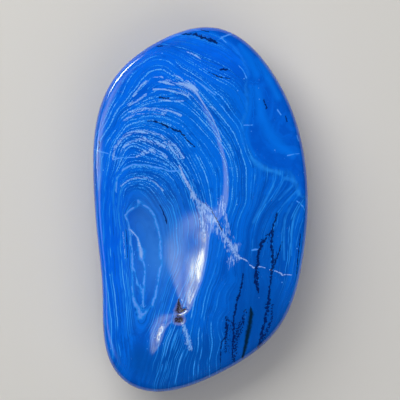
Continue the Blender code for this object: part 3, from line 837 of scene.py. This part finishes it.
def paleVeins(n, grain, gap, ragged, waver):
    # veins, the border of the clear part and the soft lines: smooth markings of uneven strength
    medium = grain["medium"]
    vein = n.timesPlus(ragged, 0.6, n.line("paleVeins", waver))
    vein = n.plus(vein, n.ramp(medium, 0.54, 0.36, -0.3, 0.45))
    n.paint(smooth(n, vein, "veinGlow"), "line")
    n.paint(smooth(n, vein, "vein"), "lavender")
    border = n.ramp(n.math("ABSOLUTE", n.plus(gap, 0.2)), 0.5, 0.0)
    n.paint(n.times(border, n.ramp(medium, 0.35, 0.6, 0.05, 0.3)), "line")
    soft = smooth(n, n.line("softLines"), "softLine")
    n.paint(n.times(soft, n.ramp(medium, 0.3, 0.6, 0.5, 1.0)), "line")


def grainyArcs(n, grain, place, level):
    # strands along the layers, from a noise read at the place plus the level many times over
    strandPlace = n.vector("ADD", n.spot(n.times(level, amber["strands"])), place)
    strands = n.timesPlus(n.noise(strandPlace, 1.0, 3.0, 0.6), 1.05, -0.15)
    strands = n.timesPlus(grain["speck"], 0.35, strands)
    gap = n.plus(n.line("grainyArcs"), n.timesPlus(grain["medium"], 2.4, -1.2))
    arc = grainy(n, strands, gap, "arc")
    n.paint(n.times(arc, 0.9), "grain")
    n.paint(n.ramp(n.times(arc, grain["speck"]), 0.50, 0.62, 0.0, 0.8), "healedAndHighlight")
    return arc


def healedCrackAndHighlight(n, grain, place, waver):
    # a fringe of fibres along the broad band and a grainy spine, then the pale ridge, which along the
    # ledge's crest is a painted highlight
    fibres = n.add("Mapping", {"Vector": place, **amber["fibres"]}).outputs[0]
    clumps = n.timesPlus(grain["medium"], 0.5, -0.25)
    fringe = grainy(n, n.plus(n.noise(fibres, 1.0, 2.0), clumps), n.line("crackBand"), "fringe")
    speckled = n.timesPlus(grain["speck"], 0.9, clumps)
    crack = n.larger(fringe, grainy(n, speckled, n.line("crackSpine", waver), "spine"))
    n.paint(n.times(crack, 0.9), "healedAndHighlight")
    # painted highlight: the pale ridge along the ledge's crest stands in for its glint
    ridgeAndHighlight = smooth(n, n.line("paleRidgeAndHighlight"), "ridgeAndHighlight")
    n.paint(n.times(ridgeAndHighlight, n.ramp(grain["fine"], 0.3, 0.5, 0.35, 0.95)), "healedAndHighlight")
    return crack


def darkSeams(n, grain, place, ragged):
    # crumbly seams, the crumbs that they fall apart into, and the green slit
    texture = n.timesPlus(grain["fine"], 0.6, n.times(grain["speck"], 0.4))
    seam = grainy(n, texture, n.line("darkSeams", n.drift(place, 1.7, 3.0)), "seam")
    seam = n.larger(seam, grainy(n, grain["speck"], n.line("looseCrumbs"), "crumb"))
    n.paint(n.times(seam, 0.92), "seam")
    n.paint(smooth(n, n.plus(n.line("greenSlit"), ragged), "slit"), "slit")
    return seam


def openPit(n, grain):
    # a pale rim around the hollows, and a dark inside with pale crusts
    gap = n.plus(n.line("pitHollows"), n.plus(grain["speck"], -0.5))
    n.paint(smooth(n, gap, "pitRim"), "pitRim")
    crust = n.ramp(grain["speck"], 0.5, 0.62, 0.0, 0.55)
    hollow = smooth(n, gap, "hollow")
    n.paint(hollow, n.mix(crust, "pit", "pitRim"))
    return hollow


def amberMaterial():
    # each marking is painted over the ones before; roughness and bump are sums of the markings
    material = bpy.data.materials.new("bandedBlueAmber")
    n = Nodes(material)
    objectPlace = n.add("TexCoord", {}).outputs["Object"]
    place = n.add("Mapping", {"Vector": objectPlace, "Scale": (1 / mm,) * 3}).outputs[0]
    grain = {name: n.noise(place, *row) for name, row in amber["grains"].items()}
    level = wanderingLevel(n, grain)
    gap = n.plus(n.field("windowGap"), n.timesPlus(grain["medium"], 1.6, -0.8))
    window = n.ramp(gap, -0.3, 0.7)
    ragged = n.timesPlus(grain["fine"], 1.4, -0.7)
    waver = n.drift(place, 0.7, 4.0)

    broad = layerTonesAndShading(n, grain, level, window)
    light = layerLines(n, grain, place, level, window)
    paleSpecks(n, place)
    paleVeins(n, grain, gap, ragged, waver)
    arc = grainyArcs(n, grain, place, level)
    crack = healedCrackAndHighlight(n, grain, place, waver)
    seam = darkSeams(n, grain, place, ragged)
    hollow = openPit(n, grain)
    masks = {"broad": broad, "light": light, "arc": arc, "crack": crack, "seam": seam, "hollow": hollow}

    sway = amber["roughnessSway"]
    roughness = n.timesPlus(grain["coarse"], sway, amber["roughness"] - sway / 2)
    for name, amount in amber["duller"].items():
        roughness = n.timesPlus(masks[name], amount, roughness)
    height = 0.0
    for name, amount in amber["relief"].items():
        height = n.timesPlus(masks[name], amount, height)
    strength, reach = amber["bump"]
    bump = n.add("Bump", {"Strength": strength, "Distance": reach * mm, "Height": height})
    shader = n.tree.nodes["Principled BSDF"].inputs
    n.join(n.colour, shader["Base Color"])
    n.join(roughness, shader["Roughness"])
    n.join(amber["ior"], shader["IOR"])
    n.join(bump.outputs["Normal"], shader["Normal"])
    print("material:", len(n.tree.nodes), "nodes")
    return material


stage = {
    "floorSize": 1600,
    "floorColour": (0.66, 0.645, 0.62, 1.0),
    "floorRoughness": 0.8,
    "world": 0.003,
    "aimHeight": 12.0,  # of the point above the floor that the lights look at
    "distance": 450,  # of every light from there
    "glossColour": (1.0, 0.97, 0.52),
    # a light's name, bearing and tilt from straight up in degrees, width, height, radiance, and
    # how much of its half width is a soft border; these only shine in the polish
    "glossLights": [
        ("softbox", 167, 31, 320, 520, 2.8, 0.95),
        ("steepBox", 171, 53, 240, 260, 4.8, 0.9),
        ("strip", 176, 57, 20, 110, 24.0, 0.6),
        ("lowerStrip", 174, 52, 30, 110, 12.0, 0.8),
        ("edgeStrip", 137, 71, 210, 300, 38.0, 1.0),
    ],
    # these only light the surface, and have no border
    "softLights": [
        ("key", 122, 46, 420, 420, 3.55),
        ("fill", 300, 50, 500, 500, 1.0),
        ("top", 0, 2, 700, 700, 0.5),
    ],
}

cameraView = {
    "lens": 250.0,
    "sensor": 36.0,
    "field": 72.0,  # millimetres across the view at the widest line's height
    "middle": (-0.09, 1.71),
}


def makeFloor():
    # a flat square around the stone, at the height of its lapped back
    half = stage["floorSize"] / 2 * mm
    mesh = bpy.data.meshes.new("floor")
    corners = [(-half, -half, 0), (half, -half, 0), (half, half, 0), (-half, half, 0)]
    mesh.from_pydata(corners, [], [(0, 1, 2, 3)])
    material = bpy.data.materials.new("paleFloor")
    material.use_nodes = True
    shader = material.node_tree.nodes["Principled BSDF"]
    shader.inputs["Base Color"].default_value = stage["floorColour"]
    shader.inputs["Roughness"].default_value = stage["floorRoughness"]
    mesh.materials.append(material)
    addObject("floor", mesh)


def softenBorder(light, border):
    # the light's brightness falls away smoothly over the outer part of its width and height
    n = Nodes(light)
    place = n.add("NewGeometry", {}).outputs["Parametric"]
    parts = n.add("SeparateXYZ", {0: place})
    falls = []
    for axis in (0, 1):
        out = n.math("ABSOLUTE", n.math("SUBTRACT", parts.outputs[axis], 0.5))
        falls.append(n.ramp(out, 0.5, 0.5 - 0.5 * border, ease="SMOOTHERSTEP"))
    n.join(n.times(*falls), n.tree.nodes["Emission"].inputs["Strength"])


def makeLight(glossy, name, bearing, tilt, width, height, radiance, border=0.0):
    # a rectangle that faces the stone, with the power of that radiance: radiance pi width height
    light = bpy.data.lights.new(name, "AREA")
    light.shape = "RECTANGLE"
    light.size, light.size_y = width * mm, height * mm
    light.energy = radiance * math.pi * light.size * light.size_y
    if glossy:
        light.color = stage["glossColour"]
        softenBorder(light, border)
    lamp = addObject(name, light)
    turn, lean = math.radians(bearing), math.radians(tilt)
    out = np.array([math.sin(lean) * math.cos(turn), math.sin(lean) * math.sin(turn), math.cos(lean)])
    lamp.location = (np.array([0, 0, stage["aimHeight"]]) + out * stage["distance"]) * mm
    lamp.rotation_euler = (0, lean, turn)  # its own X then lies along the tilt
    lamp.visible_glossy, lamp.visible_diffuse = glossy, not glossy


def makeLights():
    # the lights, and a faint even light from all around
    for row in stage["glossLights"]:
        makeLight(True, *row)
    for row in stage["softLights"]:
        makeLight(False, *row)
    world = bpy.data.worlds.new("studio")
    world.use_nodes = True
    background = world.node_tree.nodes["Background"]
    background.inputs["Color"].default_value = (1, 1, 1, 1)
    background.inputs["Strength"].default_value = stage["world"]
    bpy.context.scene.world = world
    print("lights:", len(stage["glossLights"]) + len(stage["softLights"]))


def makeCamera():
    # straight above the middle, as far up as the field of view asks: field lens / sensor
    camera = bpy.data.cameras.new("camera")
    camera.lens, camera.sensor_width = cameraView["lens"], cameraView["sensor"]
    away = cameraView["field"] * cameraView["lens"] / cameraView["sensor"]
    stand = addObject("camera", camera)
    x, y = cameraView["middle"]
    stand.location = (x * mm, y * mm, (stone["rimHeight"] + away) * mm)
    bpy.context.scene.camera = stand
    bpy.context.scene.view_settings.view_transform = "Standard"


stonePiece = makeStone()
stonePiece.data.materials.append(amberMaterial())
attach(stonePiece, "root")
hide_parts("amber_stone")
makeFloor()
makeLights()
makeCamera()
print("scene ready")
